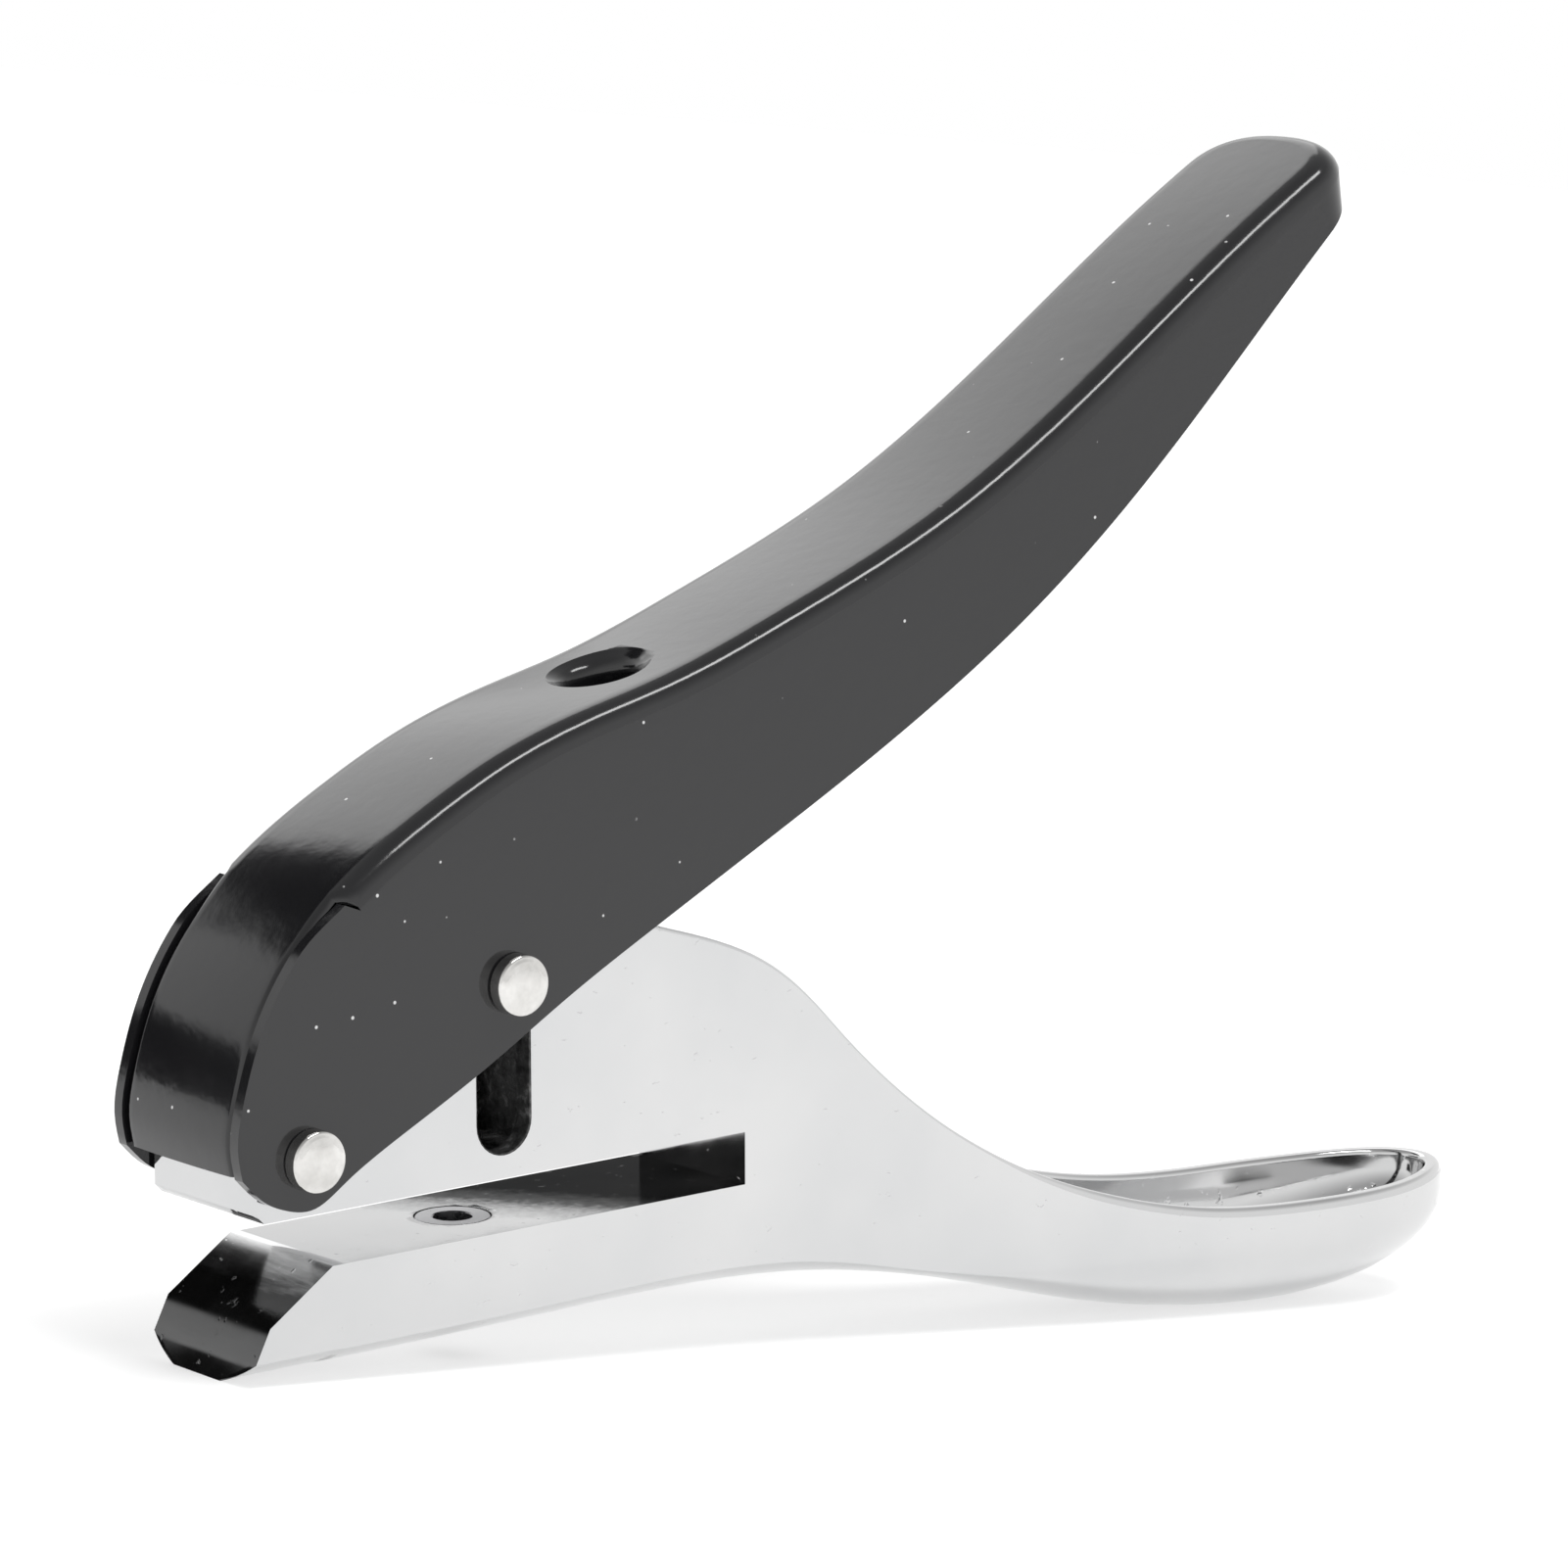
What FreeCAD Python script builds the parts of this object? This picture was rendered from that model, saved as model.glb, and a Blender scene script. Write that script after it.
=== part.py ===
import FreeCAD, Part
import math
import os

from FreeCAD import Vector

# Hand-held single-hole punch plier, in millimetres.
# Origin: centre of the die hole on the anvil face. +X runs back to the handles, +Z up along the
# punch, and the jaws are 13 mm wide across Y. The lever is drawn open, its spring relaxed.

doc = FreeCAD.newDocument("hole_punch_plier")
sheet = doc.addObject("Spreadsheet::Sheet", "dims")

DIMENSIONS = [
    # frame casting
    ("jaw_width", 13.07, "width of the casting across both jaws"),
    ("throat_gap", 4.1, "height of the paper throat"),
    ("throat_back", 22.96, "depth of the throat behind the die hole"),
    ("cavity_long", 11.0, "length of the well that guides the punch holder"),
    ("cavity_wide", 9.8, "width of that well between the two side walls"),
    ("cavity_floor", 5.3, "height of the well's floor over the anvil"),
    ("slot_wide", 4.8, "width of the upright slots for the drive rivet"),
    ("slot_low", 8.4, "centre of the round lower end of those slots"),
    ("slot_high", 21.2, "upper end of those slots"),
    ("spoon_half", 8.1, "half width of the spoon"),
    ("spoon_end", 102.6, "rear end of the spoon"),
    ("spoon_bend", 18.6, "length over which the spoon's end rounds in, seen from above"),
    ("wall_rim", 1.5, "thickness of the spoon's rim"),
    ("past", 30.0, "reach of a cutting block beyond the casting"),
    # punch, die and holder
    ("punch_rad", 1.48, "radius of the punch"),
    ("punch_tip", 4.4, "height of the punch tip when open"),
    ("punch_head_rad", 2.6, "radius of the punch's head"),
    ("punch_head_low", 16.9, "underside of the punch's head"),
    ("punch_top", 22.4, "top of the punch"),
    ("hole_rad", 1.5, "radius of the die hole"),
    ("guide_rad", 1.53, "radius of the guide hole in the upper jaw"),
    ("bush_rad", 2.93, "outer radius of the die bush"),
    ("bush_long", 5.0, "length of the die bush"),
    ("slug_rad", 2.1, "radius of the hole below the bush, where the slugs drop out"),
    ("holder_low", 15.6, "underside of the punch holder"),
    ("holder_tall", 8.2, "height of the punch holder"),
    ("holder_gap", 0.1, "running gap between the holder and its well"),
    # spring
    ("wire_rad", 0.25, "radius of the spring wire"),
    ("coil_rad", 1.95, "mean radius of the spring"),
    ("coil_turns", 5.0, "number of turns"),
    ("washer_rad", 2.24, "radius of the spring's seat washer"),
    ("washer_thick", 0.4, "thickness of the seat washer"),
    # rivets
    ("drive_high", 19.1, "height of the drive rivet"),
    ("front_back", -18.5, "place of the front rivet along X"),
    ("front_high", 8.65, "height of the front rivet"),
    ("shank_rad", 1.45, "radius of the drive rivet's shank"),
    ("front_shank_rad", 1.2, "radius of the front rivet's shank"),
    ("head_rad", 2.31, "radius of the rivet heads"),
    ("head_tall", 1.57, "height of the rivet heads over the lever"),
    ("head_round", 0.3, "edge rounding of the rivet heads"),
    ("turn_gap", 0.05, "gap between the lever and the drive rivet's shank and heads"),
    ("front_run", 2.5, "forward run of the front rivet in its slot"),
    ("front_clear", 0.15, "clearance round the front rivet in its slot"),
    ("front_drop", 0.05, "how far the slot's middle lies below the open rivet"),
    # lever
    ("lever_width", 15.8, "outer width of the sheet lever"),
    ("sheet_thick", 1.0, "thickness of the lever's sheet"),
    ("edge_round", 1.8, "outer rounding between the lever's web and its sides"),
    ("handle_lean", 36.9, "rise of the lever's rear end"),
    ("handle_end", 113.4, "reach of the lever's tip along that rise"),
    ("tip_round", 6.0, "length over which the tip rounds in, seen from above"),
    ("flap_low", 7.6, "lower edge of the front flap"),
    ("dimple_rad", 2.7, "inner radius of the drawn collar in the web"),
    ("dimple_deep", 3.0, "depth of the drawn collar"),
    ("dimple_back", 14.2, "place of the collar along X"),
    ("dimple_high", 40.35, "height of the collar's mouth"),
    ("dimple_lean", 15.0, "lean of the collar, square to the web there"),
]
for row, (alias, value, note) in enumerate(DIMENSIONS, start=1):
    sheet.set(f"A{row}", alias)
    sheet.set(f"B{row}", repr(value))
    sheet.set(f"C{row}", note)
    sheet.setAlias(f"B{row}", alias)
doc.recompute()


def size(alias):
    """The plain number that a cell of the sheet holds."""
    return float(getattr(sheet, alias))


def bind(thing, **expressions):
    """Tie properties to the sheet. A double underscore in a key stands for a dot."""
    for key, expression in expressions.items():
        for alias, _, _ in DIMENSIONS:
            expression = expression.replace(f"<{alias}>", f"dims.{alias}")
        thing.setExpression(key.replace("__", "."), expression)
    return thing


def cylinder(name, radius, height, base, axis="z"):
    """A bound cylinder. base is three expressions, and axis y runs it along +Y."""
    thing = doc.addObject("Part::Cylinder", name)
    bind(thing, Radius=radius, Height=height)
    if axis == "y":
        thing.Placement.Rotation = FreeCAD.Rotation(Vector(1, 0, 0), -90)
    for letter, expression in zip("xyz", base):
        bind(thing, **{f"Placement__Base__{letter}": expression})
    return thing


def box(name, sizes, base):
    """A bound box from three size expressions and three corner expressions."""
    thing = doc.addObject("Part::Box", name)
    bind(thing, Length=sizes[0], Width=sizes[1], Height=sizes[2])
    for letter, expression in zip("xyz", base):
        bind(thing, **{f"Placement__Base__{letter}": expression})
    return thing


def fuse(name, things):
    thing = doc.addObject("Part::MultiFuse", name)
    thing.Shapes = things
    thing.Refine = True
    return thing


def common(name, things):
    thing = doc.addObject("Part::MultiCommon", name)
    thing.Shapes = things
    return thing


def cut(name, base, tool):
    thing = doc.addObject("Part::Cut", name)
    thing.Base = base
    thing.Tool = tool
    return thing


def outline_feature(name, face):
    """A flat outline as a feature of its own, ready to extrude."""
    thing = doc.addObject("Part::Feature", name)
    thing.Shape = face
    return thing


def extrude(name, face, direction, length, symmetric=True):
    thing = doc.addObject("Part::Extrusion", name)
    thing.Base = outline_feature(name + "_outline", face)
    thing.DirMode = "Custom"
    thing.Dir = direction
    thing.Solid = True
    thing.Symmetric = symmetric
    return bind(thing, LengthFwd=length)


def in_side_view(points):
    return [Vector(x, 0, z) for x, z in points]


def spline(points):
    """A smooth edge through the points."""
    curve = Part.BSplineCurve()
    curve.interpolate(Points=points)
    return curve


def segments(points):
    """Straight edges from point to point."""
    return [Part.LineSegment(a, b).toShape() for a, b in zip(points, points[1:])]


def face_of(edges):
    return Part.Face(Part.Wire(Part.__sortEdges__(edges)))


# ---------------------------------------------------------------- frame casting

# Upper side of the casting, from the hump behind the lever down the neck to the spoon's end.
BACK_LINE = in_side_view([
    (15.4, 21.0), (20.0, 19.5), (24.85, 17.3), (28.7, 14.5), (32.6, 10.6), (37.6, 5.9),
    (43.6, 1.3), (50.8, -2.9), (60.0, -6.6), (70.0, -9.2), (80.0, -10.4), (88.0, -10.8),
    (94.0, -10.95), (99.0, -10.9), (104.0, -10.8),
])
# Nose of the lower jaw, from the anvil face forward and down.
LOWER_NOSE = in_side_view([(-15.7, 0), (-18.4, -0.8), (-20.8, -3.0), (-22.2, -5.4), (-23.5, -8.4)])
NOSE_FRONT = -22.3
NOSE_CHAMFER = 0.6
BELOW_ALL = -25.0
SIDE_CLEAR = 12.0
FRONT_CLEAR = -60.0
UPPER_TOP = in_side_view([(-20.6, 12.9), (-9.0, 22.6), (-6.0, 23.4), (8.0, 23.4), (15.4, 21.0)])


def side_outline():
    """Side view of the casting. The throat is cut later, and the underside is shaped by the skin."""
    boss_front = size("front_back") - 4.7
    nose = in_side_view([
        (-15.7, 0), (NOSE_FRONT + NOSE_CHAMFER, size("throat_gap")),
        (NOSE_FRONT, size("throat_gap") + NOSE_CHAMFER), (NOSE_FRONT, 6.0),
    ])
    boss = Part.Arc(
        nose[-1], Vector(boss_front, 0, size("front_high")), UPPER_TOP[0]
    ).toShape()
    rim_end = BACK_LINE[-1]
    jaw_tip = LOWER_NOSE[-1]
    below = [rim_end, Vector(rim_end.x, 0, BELOW_ALL), Vector(jaw_tip.x, 0, BELOW_ALL), jaw_tip]
    edges = segments(nose) + [boss] + segments(UPPER_TOP)
    edges += [spline(BACK_LINE).toShape()] + segments(below) + [spline(LOWER_NOSE).toShape()]
    return face_of(edges)


def plan_outline(end, half, bend, floor):
    """Plan view of a round end, joined to a wide block in front of it."""
    start = end - bend
    arc = Part.Ellipse(Vector(start, 0, 0), *sorted((bend, half), reverse=True))
    if half > bend:
        arc.rotate(FreeCAD.Placement(Vector(), Vector(0, 0, 1), 90))
        arc.Center = Vector(start, 0, 0)
        curve = arc.toShape(math.pi, 2 * math.pi)
    else:
        curve = arc.toShape(-math.pi / 2, math.pi / 2)
    curve.translate(Vector(0, 0, floor))
    block = [
        (start, half), (start, SIDE_CLEAR), (FRONT_CLEAR, SIDE_CLEAR),
        (FRONT_CLEAR, -SIDE_CLEAR), (start, -SIDE_CLEAR), (start, -half),
    ]
    return face_of([curve] + segments([Vector(x, y, floor) for x, y in block]))


def spoon_plan(inset):
    end = size("spoon_end") - inset
    return plan_outline(end, size("spoon_half") - inset, size("spoon_bend") - inset, BELOW_ALL)


def cross_section(x, half, edge, bottom, across, down, top=45.0):
    """Section at x: straight sides down to edge, then a rounded underside down to bottom.

    The underside follows |y/half|^across + |drop/depth|^down = 1.
    """
    points = []
    for step in range(13):
        angle = math.pi * step / 12
        side = math.cos(angle)
        drop = math.sin(angle)
        y = math.copysign(abs(side) ** (2 / across), side)
        points.append(Vector(x, half * y, edge + (bottom - edge) * drop ** (2 / down)))
    upper = [points[-1], Vector(x, -half, top), Vector(x, half, top), points[0]]
    return Part.Wire([spline(points).toShape()] + segments(upper))


# x, half width, lower end of the straight side, bottom, and the two exponents of the curve
SKIN = [
    (-26.0, 6.535, -6.3, -8.5, 2.0, 1.0),
    (5.0, 6.535, -6.3, -8.5, 2.0, 1.0),
    (22.0, 6.535, -6.4, -8.55, 2.0, 1.0),
    (32.0, 6.535, -7.6, -9.3, 2.0, 1.1),
    (42.0, 6.56, -10.0, -11.1, 2.1, 1.3),
    (52.0, 6.95, -11.6, -13.9, 2.3, 1.7),
    (62.0, 7.7, -12.2, -16.8, 2.4, 1.9),
    (72.0, 8.08, -12.6, -18.9, 2.3, 2.0),
    (84.0, 8.1, -12.8, -20.1, 2.2, 2.0),
    (90.0, 7.95, -13.0, -19.9, 2.2, 2.0),
    (94.0, 7.2, -13.1, -19.15, 2.2, 2.0),
    (98.0, 5.75, -13.2, -17.9, 2.2, 2.0),
    (100.6, 4.3, -13.2, -16.4, 2.2, 2.0),
    (102.2, 2.9, -13.2, -15.0, 2.2, 2.0),
    (103.4, 1.5, -13.2, -13.9, 2.2, 2.0),
]
# the same for the hollow of the spoon, drawn upside up: its bottom is the dish's floor
DISH = [
    (54.5, 4.6, -4.6, -5.2, 2.0, 1.4),
    (60.0, 5.9, -8.0, -11.0, 2.2, 1.8),
    (66.0, 6.5, -10.5, -14.6, 2.3, 2.0),
    (74.0, 6.6, -11.8, -17.0, 2.3, 2.0),
    (84.0, 6.6, -12.2, -18.2, 2.2, 2.0),
    (90.0, 6.45, -12.3, -17.95, 2.2, 2.0),
    (94.0, 5.6, -12.4, -17.3, 2.2, 2.0),
    (98.0, 4.1, -12.4, -16.0, 2.2, 2.0),
    (100.2, 2.8, -12.4, -14.7, 2.2, 2.0),
    (101.4, 1.6, -12.4, -13.6, 2.2, 2.0),
]


def lofted(name, sections):
    thing = doc.addObject("Part::Loft", name)
    wires = [
        outline_feature(f"{name}_section_{number}", cross_section(*section))
        for number, section in enumerate(sections)
    ]
    thing.Sections = wires
    thing.Solid = True
    thing.Ruled = False
    return thing


# The plier lies on two small flats, under the nose and under the spoon.
REST_NOSE = Vector(-20.2, 0, -8.3)
REST_SPOON = Vector(79.0, 0, -19.6)


def rest_cutter():
    """A wedge under the line through the two flats."""
    run = REST_SPOON - REST_NOSE
    start = REST_NOSE - run * 0.2
    end = REST_SPOON + run * 0.3
    drop = Vector(0, 0, -20)
    return face_of(segments([start, end, end + drop, start + drop, start]))


def build_frame():
    blank = common("frame_blank", [
        extrude("frame_side", side_outline(), Vector(0, 1, 0), "4 * <spoon_half>"),
        extrude("frame_plan", spoon_plan(0), Vector(0, 0, 1), "2 * <past>", False),
        lofted("frame_skin", SKIN),
    ])
    dish = common("dish", [
        lofted("dish_hollow", DISH),
        extrude("dish_plan", spoon_plan(size("wall_rim")), Vector(0, 0, 1), "2 * <past>", False),
    ])
    half_jaw = "<jaw_width> / 2 + 1"
    slot_length = "<jaw_width> + 2"
    front_rad = "<front_shank_rad> + <front_clear>"
    front_middle = "<front_high> - <front_drop>"
    tools = [
        dish,
        extrude("rest", rest_cutter(), Vector(0, 1, 0), "4 * <spoon_half>"),
        box(
            "throat", ["<throat_back> + <past>", slot_length, "<throat_gap>"],
            ["-<past>", f"-({half_jaw})", "0"],
        ),
        box(
            "well", ["<cavity_long>", "<cavity_wide>", "<past>"],
            ["-<cavity_long> / 2", "-<cavity_wide> / 2", "<cavity_floor>"],
        ),
        box(
            "slot_run", ["<slot_wide>", slot_length, "<slot_high> - <slot_low>"],
            ["-<slot_wide> / 2", f"-({half_jaw})", "<slot_low>"],
        ),
        cylinder("slot_bottom", "<slot_wide> / 2", slot_length, ["0", f"-({half_jaw})", "<slot_low>"], "y"),
        box(
            "front_slot_run", ["<front_run>", slot_length, f"2 * ({front_rad})"],
            ["<front_back> - <front_run>", f"-({half_jaw})", f"{front_middle} - ({front_rad})"],
        ),
        cylinder("guide", "<guide_rad>", "<cavity_floor>", ["0", "0", "1"]),
        cylinder("bush_seat", "<bush_rad>", "<bush_long> + 1", ["0", "0", "-<bush_long>"]),
        cylinder("slug_hole", "<slug_rad>", "<past>", ["0", "0", "-<past>"]),
    ]
    for name, x in (("front_slot_rear", "<front_back>"), ("front_slot_end", "<front_back> - <front_run>")):
        tools.append(cylinder(name, front_rad, slot_length, [x, f"-({half_jaw})", front_middle], "y"))
    return cut("frame", blank, fuse("frame_tools", tools))


# ---------------------------------------------------------------- lever

LEVER_TOP = in_side_view([
    (-24.5, 8.1), (-24.83, 10.2), (-24.3, 13.5), (-22.64, 18.37), (-19.05, 23.97), (-13.7, 28.7),
    (-6.56, 32.88), (0.7, 36.2), (8.05, 38.45), (15.52, 40.22), (27.0, 44.0), (42.7, 50.3),
    (59.0, 59.85), (75.8, 71.0), (83.8, 76.2),
])
LEVER_LOW = in_side_view([
    (-16.6, 5.8), (-7.7, 10.55), (1.34, 15.2), (18.07, 23.97), (33.45, 31.5), (49.34, 40.63),
    (65.7, 53.4), (80.4, 67.25), (85.3, 71.7),
])
CHEEK_NOSE = in_side_view([(-24.5, 8.1), (-21.4, 5.4), (-18.3, 4.9), (-16.6, 5.8)])
LEVER_END = in_side_view([(83.8, 76.2), (86.1, 74.2), (85.3, 71.7)])


def lever_outline():
    edges = [spline(LEVER_TOP).toShape(), Part.Arc(*LEVER_END).toShape()]
    edges += [spline(LEVER_LOW).toShape(), spline(CHEEK_NOSE).toShape()]
    return face_of(edges)


def lever_hollow_outline():
    """The inside of the channel: the web's line moved in by the sheet, open below."""
    web = spline(LEVER_TOP)
    thick = size("sheet_thick")
    points = []
    for step in range(25):
        at = web.FirstParameter + (web.LastParameter - web.FirstParameter) * step / 24
        along = web.tangent(at)[0]
        inward = Vector(along.z, 0, -along.x)
        points.append(web.value(at) + inward * thick)
    rear = points[-1] - Vector(thick, 0, thick * 0.6)
    points[-1] = rear
    open_side = in_side_view([(84.2, 71.0), (84.2, 40), (30, -10), (-30, -10)])
    front = [open_side[-1], Vector(points[0].x, 0, -10), points[0]]
    return face_of([spline(points).toShape()] + segments([rear] + open_side[:3] + front[1:]))


def web_edges(solid, thick):
    """The two long upper edges of an extruded lever outline."""
    chosen = []
    for number, edge in enumerate(solid.Edges, start=1):
        middle = edge.valueAt((edge.FirstParameter + edge.LastParameter) / 2)
        if edge.Length > 100 and middle.z > 38 and abs(middle.y) > 1:
            chosen.append((number, thick, thick))
    return chosen


def rounded(name, base, radius):
    thing = doc.addObject("Part::Fillet", name)
    thing.Base = base
    doc.recompute()
    thing.Edges = web_edges(base.Shape, radius)
    return thing


def tip_prism(name, inset):
    """A prism square to the handle, rounded in at the lever's tip."""
    outline = plan_outline(
        size("handle_end") - inset, size("lever_width") / 2 - inset, size("tip_round") - inset, -60
    )
    prism = extrude(name, outline, Vector(0, 0, 1), "160", False)
    prism.Placement.Rotation = FreeCAD.Rotation(Vector(0, 1, 0), -size("handle_lean"))
    return prism


def build_lever():
    inner_width = "<lever_width> - 2 * <sheet_thick>"
    outer = extrude("lever_block", lever_outline(), Vector(0, 1, 0), "<lever_width>")
    smoothed = rounded("lever_round", outer, size("edge_round"))
    shell = common("lever_shell", [smoothed, tip_prism("tip_outer", 0)])
    channel = extrude("lever_channel", lever_hollow_outline(), Vector(0, 1, 0), inner_width)
    hollow = common("lever_hollow", [channel, tip_prism("tip_inner", size("sheet_thick"))])
    lean = FreeCAD.Rotation(Vector(0, 1, 0), -size("dimple_lean"))
    collar = cylinder(
        "collar", "<dimple_rad> + <sheet_thick>", "<dimple_deep>", ["<dimple_back>", "0", "<dimple_high>"]
    )
    collar_hole = cylinder(
        "collar_hole", "<dimple_rad>", "3 * <dimple_deep>", ["<dimple_back>", "0", "<dimple_high>"]
    )
    for thing, shift in ((collar, -1.0), (collar_hole, -1.5)):
        down = lean.multVec(Vector(0, 0, shift * size("dimple_deep")))
        thing.Placement = FreeCAD.Placement(thing.Placement.Base, lean)
        bind(
            thing,
            Placement__Base__x=f"<dimple_back> + ({down.x!r})",
            Placement__Base__z=f"<dimple_high> + ({down.z!r})",
        )
    half = "<lever_width> / 2 + 1"
    tools = [
        collar_hole,
        box(
            "flap_trim", ["4", inner_width, "<flap_low>"],
            ["-27", f"-({inner_width}) / 2", "0"],
        ),
        cylinder(
            "drive_hole", "<shank_rad> + <turn_gap>", "<lever_width> + 2",
            ["0", f"-({half})", "<drive_high>"], "y",
        ),
        cylinder(
            "front_hole", "<front_shank_rad>", "<lever_width> + 2",
            ["<front_back>", f"-({half})", "<front_high>"], "y",
        ),
    ]
    walls = cut("lever_walls", shell, hollow)
    with_collar = fuse("lever_collared", [walls, collar])
    return cut("lever", with_collar, fuse("lever_tools", tools))


# ---------------------------------------------------------------- rivets, punch, holder, spring

def build_rivet(name, x, z, shank, gap):
    """A shank right through the lever, with a flat round head on each side."""
    half = f"(<lever_width> / 2 + {gap})"
    long = f"2 * {half} + <head_tall>"
    body = [
        cylinder(name + "_shank", shank, long, [x, f"-{half} - <head_tall> / 2", z], "y"),
        cylinder(name + "_near", "<head_rad>", "<head_tall>", [x, f"-{half} - <head_tall>", z], "y"),
        cylinder(name + "_far", "<head_rad>", "<head_tall>", [x, half, z], "y"),
    ]
    whole = fuse(name + "_sharp", body)
    doc.recompute()
    thing = doc.addObject("Part::Fillet", name)
    thing.Base = whole
    limit = size("lever_width") / 2 + size("head_tall") - 0.01
    thing.Edges = [
        (number, size("head_round"), size("head_round"))
        for number, edge in enumerate(whole.Shape.Edges, start=1)
        if abs(edge.CenterOfMass.y) > limit
    ]
    return thing


def build_die_bush():
    ring = cylinder("bush_ring", "<bush_rad>", "<bush_long>", ["0", "0", "-<bush_long>"])
    hole = cylinder("bush_hole", "<hole_rad>", "<bush_long> + 2", ["0", "0", "-<bush_long> - 1"])
    return cut("die_bush", ring, hole)


def build_punch():
    pin_long = "<punch_head_low> - <punch_tip> + 1"
    pin = cylinder("punch_pin", "<punch_rad>", pin_long, ["0", "0", "<punch_tip>"])
    head = cylinder(
        "punch_head", "<punch_head_rad>", "<punch_top> - <punch_head_low>", ["0", "0", "<punch_head_low>"]
    )
    eye = cylinder("punch_eye", "<shank_rad>", "<jaw_width>", ["0", "-<jaw_width> / 2", "<drive_high>"], "y")
    return cut("punch", fuse("punch_turned", [pin, head]), eye)


def build_holder():
    block = box(
        "holder_block",
        ["<cavity_long> - 2 * <holder_gap>", "<cavity_wide> - 2 * <holder_gap>", "<holder_tall>"],
        ["-<cavity_long> / 2 + <holder_gap>", "-<cavity_wide> / 2 + <holder_gap>", "<holder_low>"],
    )
    bores = [
        cylinder("holder_bore", "<punch_head_rad>", "<holder_tall>", ["0", "0", "<punch_head_low>"]),
        cylinder("holder_neck", "<punch_rad>", "<holder_tall>", ["0", "0", "<holder_low> - 1"]),
        cylinder("holder_eye", "<shank_rad>", "<jaw_width>", ["0", "-<jaw_width> / 2", "<drive_high>"], "y"),
    ]
    return cut("punch_holder", block, fuse("holder_bores", bores))


def build_washer():
    disc = cylinder("washer_disc", "<washer_rad>", "<washer_thick>", ["0", "0", "<cavity_floor>"])
    hole = cylinder(
        "washer_hole", "<guide_rad> + <holder_gap>", "<washer_thick> + 2", ["0", "0", "<cavity_floor> - 1"]
    )
    return cut("spring_washer", disc, hole)


def build_spring():
    """An open coil round the punch, from the washer up to the holder."""
    low = size("cavity_floor") + size("washer_thick") + size("wire_rad")
    high = size("holder_low") - size("wire_rad")
    thing = doc.addObject("Part::Feature", "return_spring")
    pitch = (high - low) / size("coil_turns")
    path = Part.makeHelix(pitch, high - low, size("coil_rad"))
    wire = Part.makeCircle(size("wire_rad"), Vector(size("coil_rad"), 0, 0), Vector(0, 1, 0))
    pipe = Part.Wire(path.Edges).makePipeShell([Part.Wire([wire])], True, True)
    pipe.translate(Vector(0, 0, low))
    thing.Shape = pipe
    return thing


NODES = [
    build_frame(),
    build_die_bush(),
    build_lever(),
    build_rivet("front_rivet", "<front_back>", "<front_high>", "<front_shank_rad>", "0"),
    build_rivet("drive_rivet", "0", "<drive_high>", "<shank_rad>", "<turn_gap>"),
    build_holder(),
    build_punch(),
    build_spring(),
    build_washer(),
]
doc.recompute()

problems = [
    f"{thing.Name}: {', '.join(thing.State)}"
    for thing in doc.Objects
    if "Invalid" in thing.State or "Error" in thing.State
]
for node in NODES:
    node.Label = node.Name
    if node.Shape.isNull() or not node.Shape.isValid():
        problems.append(f"{node.Name}: shape is null or invalid")
    elif len(node.Shape.Solids) != 1:
        problems.append(f"{node.Name}: {len(node.Shape.Solids)} solids")
if problems:
    raise RuntimeError("; ".join(problems))

os.makedirs("parts", exist_ok=True)
for node in NODES:
    node.Shape.exportStep(f"parts/{node.Label}.step")
    limits = node.Shape.BoundBox
    print(f"{node.Label}: {node.Shape.Volume:.1f} mm3, x {limits.XMin:.2f}..{limits.XMax:.2f}, "
          f"y {limits.YMin:.2f}..{limits.YMax:.2f}, z {limits.ZMin:.2f}..{limits.ZMax:.2f}")
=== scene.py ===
import math

import bmesh
import bpy
import numpy as np
from mathutils import Matrix, Vector


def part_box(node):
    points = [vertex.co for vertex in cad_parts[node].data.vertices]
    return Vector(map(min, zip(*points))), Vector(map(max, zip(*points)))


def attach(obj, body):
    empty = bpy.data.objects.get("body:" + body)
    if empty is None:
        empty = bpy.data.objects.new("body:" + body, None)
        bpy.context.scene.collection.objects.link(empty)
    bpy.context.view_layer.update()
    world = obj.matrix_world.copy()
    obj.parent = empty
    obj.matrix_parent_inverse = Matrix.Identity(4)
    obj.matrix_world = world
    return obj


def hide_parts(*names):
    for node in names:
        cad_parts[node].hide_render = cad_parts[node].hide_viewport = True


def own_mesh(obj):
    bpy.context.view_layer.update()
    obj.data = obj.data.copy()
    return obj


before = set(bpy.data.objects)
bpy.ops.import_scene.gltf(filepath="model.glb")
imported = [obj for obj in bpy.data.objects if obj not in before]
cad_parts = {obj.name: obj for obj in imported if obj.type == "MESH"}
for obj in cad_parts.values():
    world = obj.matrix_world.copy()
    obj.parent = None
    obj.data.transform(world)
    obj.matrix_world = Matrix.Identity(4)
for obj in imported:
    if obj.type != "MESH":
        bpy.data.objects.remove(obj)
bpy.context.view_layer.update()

# A hand-held single-hole punch plier. Sizes below are millimetres in the part's own frame: origin at
# the die hole on the anvil face, +X back to the handles, +Z up along the punch.
MM = 0.001


def node_box(name):
    """A CAD node's box in millimetres."""
    low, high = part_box(name)
    return low / MM, high / MM


# ------------------------------------------------------------------ small geometry helpers

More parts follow.
